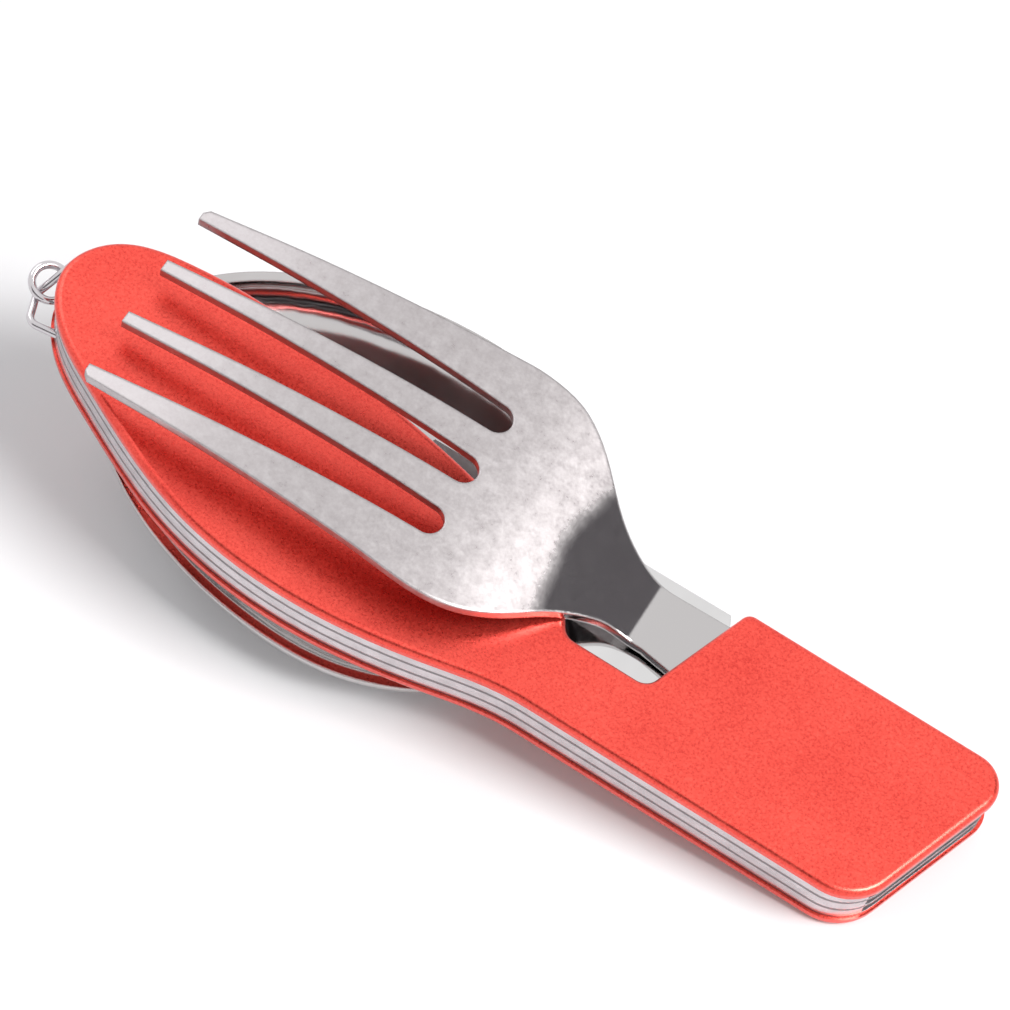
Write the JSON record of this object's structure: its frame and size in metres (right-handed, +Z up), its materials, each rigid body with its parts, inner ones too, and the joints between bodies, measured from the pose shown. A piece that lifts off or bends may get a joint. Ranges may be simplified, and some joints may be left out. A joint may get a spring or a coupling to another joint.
{
  "type": "folding picnic cutlery set",
  "caption": "Folding picnic cutlery: an arched fork, a knife and a spoon fold into one rounded two-cover handle with a side notch and a small ring at its tip.",
  "frame": {"origin": "middle of the closed set's box, on the surface that it lies on", "axes": "+Z up; +X along the handle towards the block with the pivot; +Y across it towards the notch"},
  "size_m": [0.1164, 0.0452, 0.0293],
  "materials": {
    "anodised_red": "fine bead-blasted, red anodised",
    "plate_steel": "fine ground edges",
    "spring_steel": "polished outer edge",
    "pin_steel": "turned",
    "fork_steel": "tumbled satin",
    "spoon_steel": "mirror polished",
    "blade_steel": "mirror polished",
    "wire_steel": "bright drawn wire"
  },
  "bodies": {
    "handle": {"top_cover": "anodised_red", "bottom_cover": "anodised_red", "top_plate": "plate_steel", "bottom_plate": "plate_steel", "liner_upper": "plate_steel", "liner_lower": "plate_steel", "fork_spring": "spring_steel", "knife_spring": "spring_steel", "spoon_spring": "spring_steel", "pivot_pin": "pin_steel", "mid_rivet": "pin_steel", "tip_rivet": "pin_steel", "fork_washers": "pin_steel", "knife_washers": "pin_steel", "spoon_washers": "pin_steel", "tip_bail": "wire_steel"},
    "fork_body": {"fork": "fork_steel"},
    "spoon_body": {"spoon": "spoon_steel"},
    "knife_body": {"knife_blade": "blade_steel"},
    "ring_body": {"jump_ring": "wire_steel"}
  },
  "joints": [
    {"name": "fork_pivot", "type": "hinge", "parent": "handle", "child": "fork_body", "pos_m": [0.03909, -0.00359, 0.00722], "axis": [-0.1456, 0.1262, -0.9813], "range_deg": [0, 180]},
    {"name": "spoon_pivot", "type": "hinge", "parent": "handle", "child": "spoon_body", "pos_m": [0.03909, -0.00359, 0.00722], "axis": [-0.1456, 0.1262, -0.9813], "range_deg": [0, 180]},
    {"name": "knife_pivot", "type": "hinge", "parent": "handle", "child": "knife_body", "pos_m": [0.03909, -0.00359, 0.00722], "axis": [-0.1456, 0.1262, -0.9813], "range_deg": [0, 180]},
    {"name": "ring_swing", "type": "hinge", "parent": "handle", "child": "ring_body", "pos_m": [-0.0559, -0.00411, 0.02061], "axis": [-0.4625, -0.625, -0.6288], "range_deg": [0, 85]}
  ]
}
